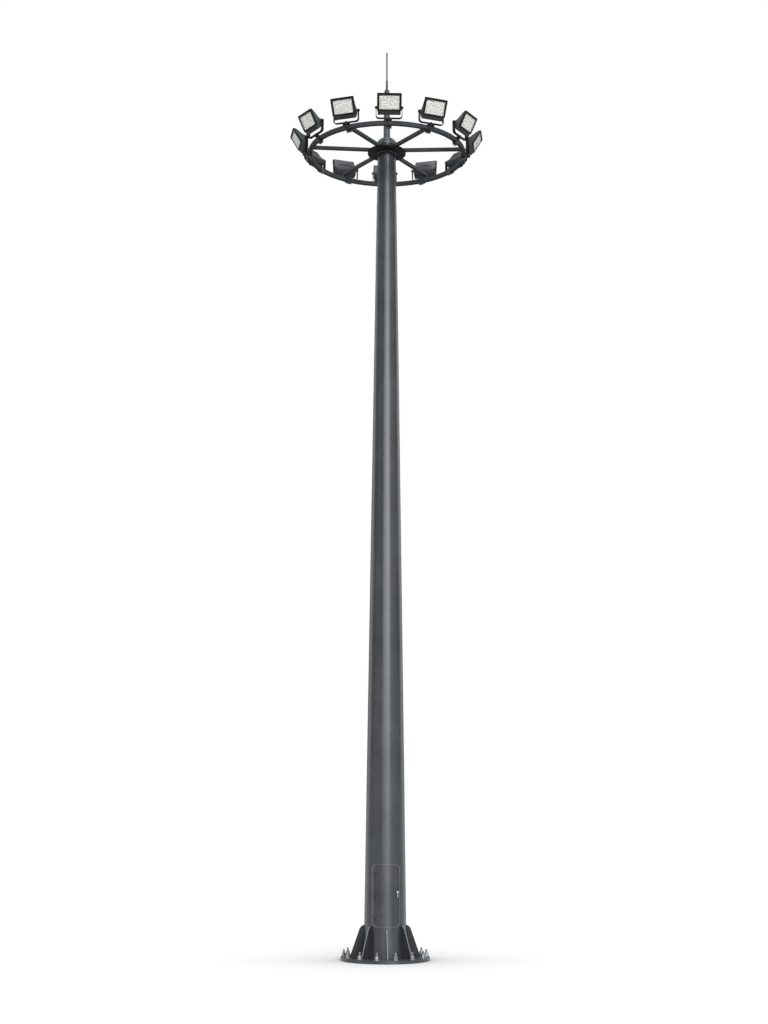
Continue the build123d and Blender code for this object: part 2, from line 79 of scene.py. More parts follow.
def add_node(tree: bpy.types.NodeTree, kind: str, settings: dict | None = None,
             links: dict | None = None, values: dict | None = None) -> bpy.types.Node:
    """Adds one node with its settings, input values and incoming links.

    Args:
        tree: Node tree to add to.
        kind: Blender's type name of the node.
        settings: Attributes of the node itself.
        links: Input name or index to the output socket that feeds it.
        values: Input name or index to a constant.

    Returns:
        The new node.
    """
    node = tree.nodes.new(kind)
    for name, value in (settings or {}).items():
        setattr(node, name, value)
    for name, value in (values or {}).items():
        node.inputs[name].default_value = value
    for name, socket in (links or {}).items():
        tree.links.new(socket, node.inputs[name])
    return node


def blank_material(name: str) -> tuple[bpy.types.Material, bpy.types.NodeTree]:
    """Makes an empty node material.

    Args:
        name: Name of the material.

    Returns:
        The material and its tree.
    """
    material = bpy.data.materials.new(name)
    material.use_nodes = True
    material.node_tree.nodes.clear()
    return material, material.node_tree


def set_ramp(node: bpy.types.Node, stops: list[tuple[float, str]]) -> bpy.types.Node:
    """Writes a colour ramp's stops.

    Args:
        node: Colour ramp node.
        stops: Positions with their hex colours, in rising order.

    Returns:
        The same node.
    """
    ramp = node.color_ramp
    while len(ramp.elements) < len(stops):
        ramp.elements.new(1.0)
    for element, (position, code) in zip(ramp.elements, stops):
        element.position = position
        element.color = linear(code)
    return node


# ---------------------------------------------------------------- finishes

@dataclass(frozen=True)
class PowderCoat:
    """Polyester powder coat over steel or cast aluminium, baked to a satin skin.

    It gives the eye a soft sheen with faint orange peel, slow drifts of tone, and paler dust in streaks that rain
    has drawn down the surface.
    """

    name: str
    dark: str
    light: str
    roughness: float = 0.42
    drift_mm: float = 900.0
    peel_mm: float = 6.0  # real orange peel is about 2 mm, drawn coarser so that it shows
    streak_mm: float = 60.0
    streaks: float = 0.35
    metallic: float = 0.0
    coat: float = 0.15
    specular: float = 0.5
    painted_edge_highlight: str = ""  # painted highlight: surfaces that face out from the mast, such as the gussets' cut edges, are drawn in this paler colour as if lit

    def build(self) -> bpy.types.Material:
        """Builds the material."""
        material, tree = blank_material(self.name)
        place = add_node(tree, "ShaderNodeTexCoord").outputs["Object"]
        drift = add_node(tree, "ShaderNodeTexNoise", links={"Vector": place}, values={
            "Scale": 1 / (self.drift_mm * MM), "Detail": 4.0, "Roughness": 0.6})
        fine = add_node(tree, "ShaderNodeTexNoise", links={"Vector": place}, values={
            "Scale": 1 / (self.drift_mm * MM / 14), "Detail": 3.0, "Roughness": 0.6})
        stretched = add_node(tree, "ShaderNodeMapping", links={"Vector": place}, values={"Scale": (1, 1, 0.05)})
        streak = add_node(tree, "ShaderNodeTexNoise", links={"Vector": stretched.outputs[0]}, values={
            "Scale": 1 / (self.streak_mm * MM), "Detail": 3.0, "Roughness": 0.55})
        both = add_node(tree, "ShaderNodeMath", {"operation": "MULTIPLY_ADD"},
                        {0: fine.outputs["Fac"], 2: drift.outputs["Fac"]}, {1: 0.35})
        worn = add_node(tree, "ShaderNodeMath", {"operation": "MULTIPLY_ADD"},
                        {0: streak.outputs["Fac"], 2: both.outputs[0]}, {1: self.streaks})
        tone = set_ramp(add_node(tree, "ShaderNodeValToRGB", links={"Fac": worn.outputs[0]}),
                        [(0.55, self.dark), (1.15 if self.streaks < 0.2 else 1.0, self.light)])
        rough = add_node(tree, "ShaderNodeMapRange", links={"Value": worn.outputs[0]}, values={
            "From Min": 0.4, "From Max": 1.1, "To Min": self.roughness - 0.05, "To Max": self.roughness + 0.07})
        peel = add_node(tree, "ShaderNodeTexNoise", links={"Vector": place}, values={
            "Scale": 1 / (self.peel_mm * MM), "Detail": 1.0})
        bump = add_node(tree, "ShaderNodeBump", links={"Height": peel.outputs["Fac"]}, values={
            "Strength": 0.08, "Distance": 0.0006})
        colour = tone.outputs["Color"]
        if self.painted_edge_highlight:
            # painted highlight: surfaces whose normal points away from the mast's axis are mixed towards the paler
            # colour
            level = add_node(tree, "ShaderNodeVectorMath", {"operation": "MULTIPLY"}, {0: place}, {1: (1, 1, 0)})
            outward = add_node(tree, "ShaderNodeVectorMath", {"operation": "NORMALIZE"}, {0: level.outputs[0]})
            facing = add_node(tree, "ShaderNodeNewGeometry").outputs["Normal"]
            share = add_node(tree, "ShaderNodeVectorMath", {"operation": "DOT_PRODUCT"},
                             {0: outward.outputs[0], 1: facing})
            edge = add_node(tree, "ShaderNodeMapRange", links={"Value": share.outputs["Value"]}, values={
                "From Min": 0.25, "From Max": 0.6})
            mixed = add_node(tree, "ShaderNodeMix", {"data_type": "RGBA"}, {0: edge.outputs[0], 6: colour},
                             {7: linear(self.painted_edge_highlight)})
            colour = mixed.outputs[2]
        shader = add_node(tree, "ShaderNodeBsdfPrincipled", links={
            "Base Color": colour, "Roughness": rough.outputs[0], "Normal": bump.outputs[0],
        }, values={"Metallic": self.metallic, "Specular IOR Level": self.specular, "Coat Weight": self.coat,
                   "Coat Roughness": 0.3})
        add_node(tree, "ShaderNodeOutputMaterial", links={"Surface": shader.outputs[0]})
        return material


@dataclass(frozen=True)
class Zinc:
    """Hot-dip galvanised steel, as on anchor bolts: a pale grey metal skin with a mottle of zinc crystals."""

    name: str
    dark: str
    light: str
    spangle_mm: float = 9.0
    roughness: float = 0.38
    metallic: float = 0.85

    def build(self) -> bpy.types.Material:
        """Builds the material."""
        material, tree = blank_material(self.name)
        place = add_node(tree, "ShaderNodeTexCoord").outputs["Object"]
        cells = add_node(tree, "ShaderNodeTexVoronoi", links={"Vector": place}, values={
            "Scale": 1 / (self.spangle_mm * MM)})
        dust = add_node(tree, "ShaderNodeTexNoise", links={"Vector": place}, values={
            "Scale": 1 / (self.spangle_mm * MM * 3), "Detail": 4.0})
        mix = add_node(tree, "ShaderNodeMath", {"operation": "MULTIPLY_ADD"},
                       {0: cells.outputs["Distance"], 2: dust.outputs["Fac"]}, {1: 0.5})
        tone = set_ramp(add_node(tree, "ShaderNodeValToRGB", links={"Fac": mix.outputs[0]}),
                        [(0.35, self.dark), (0.95, self.light)])
        rough = add_node(tree, "ShaderNodeMapRange", links={"Value": mix.outputs[0]}, values={
            "From Min": 0.3, "From Max": 1.0, "To Min": self.roughness - 0.08, "To Max": self.roughness + 0.12})
        shader = add_node(tree, "ShaderNodeBsdfPrincipled", links={
            "Base Color": tone.outputs["Color"], "Roughness": rough.outputs[0]}, values={"Metallic": self.metallic})
        add_node(tree, "ShaderNodeOutputMaterial", links={"Surface": shader.outputs[0]})
        return material


@dataclass(frozen=True)
class Glass:
    """Toughened float glass: clear and flat, with a slight grey tint."""

    name: str
    tint: str = "F5F5F5"

    def build(self) -> bpy.types.Material:
        """Builds the material."""
        material, tree = blank_material(self.name)
        place = add_node(tree, "ShaderNodeTexCoord").outputs["Object"]
        dust = add_node(tree, "ShaderNodeTexNoise", links={"Vector": place}, values={"Scale": 18.0, "Detail": 5.0})
        rough = add_node(tree, "ShaderNodeMapRange", links={"Value": dust.outputs["Fac"]}, values={
            "To Min": 0.02, "To Max": 0.12})
        shader = add_node(tree, "ShaderNodeBsdfPrincipled", links={"Roughness": rough.outputs[0]}, values={
            "Base Color": linear(self.tint), "Transmission Weight": 1.0, "IOR": 1.5})
        clear = add_node(tree, "ShaderNodeBsdfTransparent", values={"Color": linear(self.tint)})
        rays = add_node(tree, "ShaderNodeLightPath")  # lamps shine through the pane, as they do through real glass
        mix = add_node(tree, "ShaderNodeMixShader", links={
            0: rays.outputs["Is Shadow Ray"], 1: shader.outputs[0], 2: clear.outputs[0]})
        add_node(tree, "ShaderNodeOutputMaterial", links={"Surface": mix.outputs[0]})
        return material


@dataclass(frozen=True)
class MouldedWhite:
    """Moulded polycarbonate or silicone, as on a lamp's reflector plate and lenses: even, pale and a little soft."""

    name: str
    colour: str
    shade: str
    roughness: float = 0.45
    # a faint emission: painted light that makes the part look brighter
    glow: float = 0.0

    def build(self) -> bpy.types.Material:
        """Builds the material."""
        material, tree = blank_material(self.name)
        place = add_node(tree, "ShaderNodeTexCoord").outputs["Object"]
        cloud = add_node(tree, "ShaderNodeTexNoise", links={"Vector": place}, values={"Scale": 40.0, "Detail": 3.0})
        tone = set_ramp(add_node(tree, "ShaderNodeValToRGB", links={"Fac": cloud.outputs["Fac"]}),
                        [(0.3, self.shade), (0.7, self.colour)])
        shader = add_node(tree, "ShaderNodeBsdfPrincipled", links={"Base Color": tone.outputs["Color"]}, values={
            "Roughness": self.roughness, "Emission Strength": self.glow, "Emission Color": linear(self.colour)})
        add_node(tree, "ShaderNodeOutputMaterial", links={"Surface": shader.outputs[0]})
        return material


class Finish(Enum):
    """Every finish on the tower."""

    # smooth dark coat with a soft sheen down the shaft
    MAST = PowderCoat("powder_coated_steel_graphite", "32363A", "474B4F", roughness=0.30, metallic=0.35)
    # coat paler than the mast's, a painted highlight that stands for light on the frame's ledges, so the door's frame
    # reads
    FRAME = PowderCoat("door_frame_coat_painted_highlight", "4A4E52", "5E6265", streaks=0.1, roughness=0.35)
    # dark plate, darker than the mast's coat as painted shade in the bays between the gussets, with a painted highlight
    # on the edges that face out from the mast
    GUSSET = PowderCoat("gusset_coat_painted_shade_and_highlight", "26292B", "373A3D", roughness=0.5, coat=0.0, specular=0.2,
                        painted_edge_highlight="7E8285")
    # dull grey tube, dark below
    RING = PowderCoat("powder_coated_tube_grey", "434649", "54575A", drift_mm=300.0, streaks=0.1, roughness=0.6,
                      coat=0.0, specular=0.06)
    # near-black plate: painted shade, darker than the mast's coat to stand for the shade under the hub
    HUB = PowderCoat("hub_plate_painted_shade", "1A1C1C", "242626", drift_mm=400.0, streaks=0.1, roughness=0.7,
                     coat=0.0, specular=0.08)
    # dark forging
    CLAMP = PowderCoat("powder_coated_forging_dark", "33373A", "484C4F", drift_mm=300.0, streaks=0.1, coat=0.0,
                       specular=0.2)
    # dark bar with no sheen, so that thin legs stay dark
    YOKE = PowderCoat("powder_coated_flat_bar_dark", "222527", "313537", drift_mm=300.0, streaks=0.1, roughness=0.65,
                      coat=0.0, specular=0.06)
    # cast metal, a little rough
    HOUSING = PowderCoat("powder_coated_cast_aluminium", "3B3F42", "55595C", drift_mm=260.0, peel_mm=4.0,
                         streaks=0.12, roughness=0.48, coat=0.0, specular=0.25)
    # black frame round the pale panel
    BEZEL = PowderCoat("satin_black_cast_aluminium", "1C1E1E", "2A2C2C", drift_mm=260.0, peel_mm=4.0, streaks=0.08,
                       coat=0.0, specular=0.1)
    # spangled grey bolts
    ZINC = Zinc("hot_dip_galvanised_steel", "6E7173", "A2A5A7")
    # bright handle
    LOCK = Zinc("zinc_plated_die_casting", "A8AAAC", "D2D4D5", spangle_mm=5.0, roughness=0.3)
    # dull metal tip
    ROD = Zinc("weathered_stainless_steel", "4A4D4F", "6A6D70", spangle_mm=14.0, roughness=0.42)
    # clear cover with a faint reflection
    PANE = Glass("toughened_float_glass")
    # pale plate behind the lenses
    BOARD = MouldedWhite("white_polycarbonate_reflector", "C2C2BE", "BABAB5")
    # pale dots in rows, with a faint painted glow
    LENS = MouldedWhite("clear_silicone_lens", "E9E9E5", "DDDDD8", 0.25, 0.25)
    # black strip
    RUBBER = PowderCoat("epdm_rubber_gasket", "141515", "1E1F1F", roughness=0.7, coat=0.0, streaks=0.0)

    @property
    def material(self) -> bpy.types.Material:
        """The built material, made once."""
        found = bpy.data.materials.get(self.value.name)
        return found if found else self.value.build()


# ---------------------------------------------------------------- mesh tools

def piece(name: str, mesh: bmesh.types.BMesh, body: str, finishes: Iterable[Finish],
          smooth_degrees: float = 40.0) -> bpy.types.Object:
    """Turns a finished bmesh into a piece that rides on a body.

    Args:
        name: Name of the piece.
        mesh: Shape, already in its place in the frame; it is freed.
        body: Body to ride on.
        finishes: Finishes for the mesh's material numbers, in order.
        smooth_degrees: Edges sharper than this stay sharp.

    Returns:
        The new object.
    """
    bmesh.ops.recalc_face_normals(mesh, faces=mesh.faces)
    limit = math.radians(smooth_degrees)
    for face in mesh.faces:
        face.smooth = True
    for edge in mesh.edges:
        edge.smooth = len(edge.link_faces) == 2 and edge.calc_face_angle(0.0) < limit
    data = bpy.data.meshes.new(name)
    mesh.to_mesh(data)
    mesh.free()
    for finish in finishes:
        data.materials.append(finish.material)
    item = bpy.data.objects.new(name, data)
    bpy.context.scene.collection.objects.link(item)
    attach(item, body)
    LOG.info("%s: %d faces", name, len(data.polygons))
    return item


def paint_new(mesh: bmesh.types.BMesh, number: int, make: Callable[[], object]) -> list[bmesh.types.BMVert]:
    """Runs a step that adds faces and gives the new ones a material number.

    Args:
        mesh: Mesh being built.
        number: Material number of the new faces.
        make: Step to run.

    Returns:
        The new vertices.
    """
    old_faces, old_verts = set(mesh.faces), set(mesh.verts)
    make()
    for face in mesh.faces:
        if face not in old_faces:
            face.material_index = number
    return [vert for vert in mesh.verts if vert not in old_verts]


def add_box(mesh: bmesh.types.BMesh, low: Vector, high: Vector, number: int = 0,
            bevel: float = 0.0, segments: int = 2) -> list[bmesh.types.BMVert]:
    """Adds a box between two corners, with rounded edges.

    Args:
        mesh: Mesh being built.
        low: Lowest corner.
        high: Highest corner.
        number: Material number.
        bevel: Radius of its edges.
        segments: Steps in each rounded edge.

    Returns:
        The new vertices.
    """
    low, high = Vector(low), Vector(high)
    matrix = Matrix.Translation((low + high) / 2) @ Matrix.Diagonal((*(high - low), 1))

    def make() -> None:
        made = bmesh.ops.create_cube(mesh, size=1.0, matrix=matrix)
        if bevel:
            edges = list(dict.fromkeys(edge for vert in made["verts"] for edge in vert.link_edges))
            bmesh.ops.bevel(mesh, geom=edges, offset=bevel, segments=segments, profile=0.5, affect="EDGES",
                            material=-1)

    return paint_new(mesh, number, make)


def add_rod(mesh: bmesh.types.BMesh, start: Vector, end: Vector, radius: float, number: int = 0,
            segments: int = 24, bevel: float = 0.0, tip: float | None = None) -> list[bmesh.types.BMVert]:
    """Adds a closed cylinder or cone between two points.

    Args:
        mesh: Mesh being built.
        start: Centre of one end.
        end: Centre of the other end.
        radius: Radius at the start.
        number: Material number.
        segments: Sides.
        bevel: Rounding of the end's rim.
        tip: Radius at the end, if it differs.

    Returns:
        The new vertices.
    """
    start, end = Vector(start), Vector(end)
    along = end - start
    turn = along.to_track_quat("Z", "Y").to_matrix().to_4x4()
    matrix = Matrix.Translation((start + end) / 2) @ turn

    def make() -> None:
        made = bmesh.ops.create_cone(mesh, cap_ends=True, segments=segments, radius1=radius,
                                     radius2=radius if tip is None else tip, depth=along.length, matrix=matrix)
        if bevel:
            rims = dict.fromkeys(face for vert in made["verts"] for face in vert.link_faces
                                 if len(face.verts) == segments)
            edges = list(dict.fromkeys(edge for face in rims for edge in face.edges))
            bmesh.ops.bevel(mesh, geom=edges, offset=bevel, segments=2, profile=0.5, affect="EDGES", material=-1)

    return paint_new(mesh, number, make)


def add_prism(mesh: bmesh.types.BMesh, outline: list[tuple[float, float]], half: float, number: int = 0,
              bevel: float = 0.0, segments: int = 3) -> list[bmesh.types.BMVert]:
    """Adds a prism across X from an outline of forward and up distances, with rounded edges.

    Args:
        mesh: Mesh being built.
        outline: Points forward of and above the origin.
        half: Half its width.
        number: Material number.
        bevel: Radius of its edges.
        segments: Steps in each rounded edge.

    Returns:
        The new vertices.
    """
    def make() -> None:
        verts = [mesh.verts.new((-half, -forward, up)) for forward, up in outline]
        face = mesh.faces.new(verts)
        pushed = bmesh.ops.extrude_face_region(mesh, geom=[face])["geom"]
        moved = [item for item in pushed if isinstance(item, bmesh.types.BMVert)]
        bmesh.ops.translate(mesh, verts=moved, vec=(2 * half, 0, 0))
        edges = list(dict.fromkeys(edge for vert in verts + moved for edge in vert.link_edges))
        if bevel:
            bmesh.ops.bevel(mesh, geom=edges, offset=bevel, segments=segments, profile=0.5, affect="EDGES",
                            material=-1)

    return paint_new(mesh, number, make)


def add_ring(mesh: bmesh.types.BMesh, outline: list[tuple[float, float]], number: int = 0,
             steps: int = 96) -> list[bmesh.types.BMVert]:
    """Adds a closed ring about the mast from an outline of radius and height.

    Args:
        mesh: Mesh being built.
        outline: Points of radius and height.
        number: Material number.
        steps: Steps round the ring.

    Returns:
        The new vertices.
    """
    def make() -> None:
        verts = [mesh.verts.new((0, -radius, height)) for radius, height in outline]
        edges = [mesh.edges.new((verts[i], verts[(i + 1) % len(verts)])) for i in range(len(verts))]
        bmesh.ops.spin(mesh, geom=verts + edges, cent=(0, 0, 0), axis=(0, 0, 1), dvec=(0, 0, 0),
                       angle=2 * math.pi, steps=steps, use_merge=True, use_duplicate=False)

    return paint_new(mesh, number, make)


def bearing_matrix(bearing: float) -> Matrix:
    """Turns a thing drawn at the front of the tower to a bearing, in degrees.

    Args:
        bearing: Degrees about the mast from the door's side towards +X.

    Returns:
        The turn about the mast.
    """
    return Matrix.Rotation(math.radians(bearing), 4, "Z")


# ---------------------------------------------------------------- sub-assemblies

@dataclass
class CarriedOver:
    """CAD nodes whose shape is right, and the finish that each takes."""

    finishes: dict[str, Finish] = field(default_factory=lambda: {
        "hub_plate": Finish.HUB, "ring_clamps": Finish.CLAMP, "base_gussets": Finish.GUSSET,
        "lamp_ring": Finish.RING, "hub_spokes": Finish.RING, "spoke_pads": Finish.RING, "floodlight_yokes": Finish.YOKE,
        "door_lock": Finish.LOCK, "lightning_rod": Finish.ROD, "door_frame": Finish.FRAME,
    })

    def build(self, nodes: dict[str, bpy.types.Object]) -> None:
        """Gives every CAD node its finish.

        Args:
            nodes: The frame's nodes by name.
        """
        for name, node in nodes.items():
            if name.endswith("_housing"):
                finish = Finish.HOUSING
            elif name.endswith("_glass"):
                finish = Finish.PANE
            else:
                finish = self.finishes.get(name, Finish.MAST)
            node.data.materials.clear()
            node.data.materials.append(finish.material)
        LOG.info("finishes on %d nodes", len(nodes))


@dataclass
class AnchorBolts:
    """Anchor studs with their nuts and washers round the base flange."""

    count: int = 14
    turn: float = -2.4
    circle_radius: float = 0.777
    stud_radius: float = 0.0185
    stud_rise: float = 0.138
    washer_radius: float = 0.056
    washer_thick: float = 0.010
    nut_radius: float = 0.039
    nut_thick: float = 0.038
    lock_nut_thick: float = 0.026
    thread_pitch: float = 0.008

    def stud(self, mesh: bmesh.types.BMesh, floor: float) -> list[bmesh.types.BMVert]:
        """Adds one set of stud, washer and nuts at the front.

        Args:
            mesh: Mesh being built.
            floor: Height of the flange's top.

        Returns:
            The new vertices.
        """
        y = -self.circle_radius
        made = add_rod(mesh, (0, y, floor), (0, y, floor + self.washer_thick), self.washer_radius, 0, 28, 0.0015)
        level = floor + self.washer_thick
        for thick in (self.nut_thick, self.lock_nut_thick):
            made += add_rod(mesh, (0, y, level), (0, y, level + thick), self.nut_radius, 0, 6, 0.002)
            level += thick + 0.0005
        top = floor + self.stud_rise
        while level < top - self.thread_pitch:
            middle = level + self.thread_pitch / 2
            made += add_rod(mesh, (0, y, level), (0, y, middle), self.stud_radius * 0.9, 0, 14,
                            tip=self.stud_radius)
            made += add_rod(mesh, (0, y, middle), (0, y, level + self.thread_pitch), self.stud_radius, 0, 14,
                            tip=self.stud_radius * 0.9)
            level += self.thread_pitch
        made += add_rod(mesh, (0, y, level), (0, y, top), self.stud_radius * 0.9, 0, 14, tip=self.stud_radius * 0.6)
        return made

    def build(self) -> None:
        """Builds the whole ring as one joined mesh."""
        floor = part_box("base_flange")[1].z
        mesh = bmesh.new()
        for index in range(self.count):
            made = self.stud(mesh, floor)
            spin = Matrix.Translation((0, -self.circle_radius, 0)) @ Matrix.Rotation(index * 0.7, 4, "Z") \
                @ Matrix.Translation((0, self.circle_radius, 0))
            bearing = self.turn + (index + 0.5) * 360 / self.count
            bmesh.ops.transform(mesh, matrix=bearing_matrix(bearing) @ spin, verts=made)
        piece("anchor_bolts", mesh, "root", [Finish.ZINC], 35)


@dataclass
class Welds:
    """Weld beads where the mast meets its flange, and above and below the hub plate."""

    bead: float = 0.009
    mast_foot: float = 0.408
    taper: float = 0.01381
    top_step: float = 0.002  # that the upper section is narrower than the lower

    def bead_outline(self, radius: float, height: float, rise: float) -> list[tuple[float, float]]:
        """Outline of a bead in the corner of a round wall and a level face.

        Args:
            radius: Radius of the wall.
            height: Height of the level face.
            rise: One for a bead above the face, minus one for a bead below it.

        Returns:
            Points of radius and height.
        """
        size = self.bead
        return [(radius - size / 3, height - rise * size / 3), (radius - size / 3, height + rise * size),
                (radius, height + rise * size), (radius + size * 0.62, height + rise * size * 0.62),
                (radius + size, height), (radius + size, height - rise * size / 3)]

    def build(self) -> None:
        """Builds the beads as one mesh."""
        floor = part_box("base_flange")[1].z
        hub_low, hub_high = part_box("hub_plate")
        mesh = bmesh.new()
        for height, rise in ((floor, 1), (hub_low.z, -1), (hub_high.z, 1)):
            radius = self.mast_foot - self.taper * height - (self.top_step if height > 1 else 0)
            add_ring(mesh, self.bead_outline(radius, height, rise))
        piece("mast_welds", mesh, "root", [Finish.MAST], 60)


@dataclass
class DoorTrim:
    """Rubber seal behind the gap round the door."""

    width: float = 0.454
    gap: float = 0.005
    corner: float = 0.065
    mast_foot: float = 0.408
    mast_taper: float = 0.01381
    lap: float = 0.004  # of the seal behind the mast's wall
    seal_width: float = 0.014
    seal_front: float = 0.0085  # behind the mast's surface, so that it lies behind the wall and the door's leaf
    seal_thick: float = 0.008

    def build(self) -> None:
        """Builds the seal behind the door's edge as one bent strip."""
        low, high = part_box("access_door")
        half, middle = self.width / 2 + self.gap + self.lap, (low.z + high.z) / 2
        tall = (high.z - low.z) / 2 + self.gap + self.lap
        mesh = bmesh.new()
        face = mesh.faces.new([mesh.verts.new((x, -0.5, z)) for x, z in (
            (-half, middle - tall), (half, middle - tall), (half, middle + tall), (-half, middle + tall))])
        bmesh.ops.bevel(mesh, geom=list(face.verts), offset=self.corner, segments=6, profile=0.5,
                        affect="VERTICES", material=-1)
        bmesh.ops.subdivide_edges(mesh, edges=[e for e in mesh.edges if e.calc_length() > 0.3], cuts=8)
        outer = list(mesh.faces)
        bmesh.ops.inset_region(mesh, faces=outer, thickness=self.seal_width, use_boundary=True,
                               use_even_offset=True)
        core = max(mesh.faces, key=lambda f: f.calc_area())
        bmesh.ops.delete(mesh, geom=[core], context="FACES_ONLY")
        pushed = bmesh.ops.extrude_face_region(mesh, geom=list(mesh.faces))["geom"]
        moved = [item for item in pushed if isinstance(item, bmesh.types.BMVert)]
        for vert in mesh.verts:
            behind = self.seal_front + (0 if vert in moved else self.seal_thick)
            radius = self.mast_foot - self.mast_taper * vert.co.z - behind
            vert.co.y = -math.sqrt(radius ** 2 - vert.co.x ** 2)
        piece("door_seal", mesh, "root", [Finish.RUBBER], 40)


@dataclass
class Head:
    """Places on the lamp ring that the clamps, yokes and floodlights share."""

    lamps: int = 12
    turn: float = -2.5
    ring_radius: float = 1.579
    tilt_radius: float = 1.675
    tilt_height: float = 16.297
    clamp_top: float = 16.0673
    aim_down: tuple[float, ...] = (30, 28, 28, 32, 16, 10, 10, 10, 16, 32, 28, 28)
    yoke_turn: tuple[float, ...] = (0, -10, -3, -8, 8, 12, 0, -12, -8, 8, 3, 10)

    def bearing(self, index: int) -> float:
        """Bearing of one lamp, in degrees."""
        return self.turn + index * 360 / self.lamps

    def lamp_matrix(self, index: int) -> Matrix:
        """Place of a lamp drawn upright with its tilt axis at the origin.

        Args:
            index: Number of the lamp.

        Returns:
            The matrix that aims it and sets it in its yoke.
        """
        return bearing_matrix(self.bearing(index)) @ Matrix.Translation((0, -self.tilt_radius, self.tilt_height)) \
            @ bearing_matrix(self.yoke_turn[index]) @ Matrix.Rotation(math.radians(self.aim_down[index]), 4, "X")


@dataclass
class ClampBolts:
    """Bolts of the ring clamps: a large round head on the ring's face, a yoke bolt, and a pinch bolt below."""

    head: Head
    face_radius: float = 1.6294
    head_radius: float = 0.034
    head_thick: float = 0.020
    yoke_thick: float = 0.012

    def build(self) -> None:
        """Builds all the bolts as one joined mesh."""
        mesh = bmesh.new()
        for index in range(self.head.lamps):
            made: list[bmesh.types.BMVert] = []
            out = -self.face_radius
            for z in (16.018,):
                made += add_rod(mesh, (0, out, z), (0, out - 0.004, z), self.head_radius * 1.12, 0, 28, 0.001)
                made += add_rod(mesh, (0, out - 0.004, z), (0, out - self.head_thick, z), self.head_radius, 0, 28,
                                0.004)
            axis = -self.head.tilt_radius
            level = self.head.clamp_top + self.yoke_thick
            made += add_rod(mesh, (0, axis, level), (0, axis, level + 0.004), 0.030, 0, 24, 0.001)
            made += add_rod(mesh, (0, axis, level + 0.004), (0, axis, level + 0.022), 0.021, 0, 6, 0.002)
            under = self.head.clamp_top - 0.012
            made += add_rod(mesh, (0, axis, under), (0, axis, under - 0.018), 0.021, 0, 6, 0.002)
            made += add_rod(mesh, (0, axis, under - 0.018), (0, axis, under - 0.030), 0.012, 0, 14)
            bmesh.ops.transform(mesh, matrix=bearing_matrix(self.head.bearing(index)), verts=made)
        piece("clamp_bolts", mesh, "root", [Finish.CLAMP], 35)


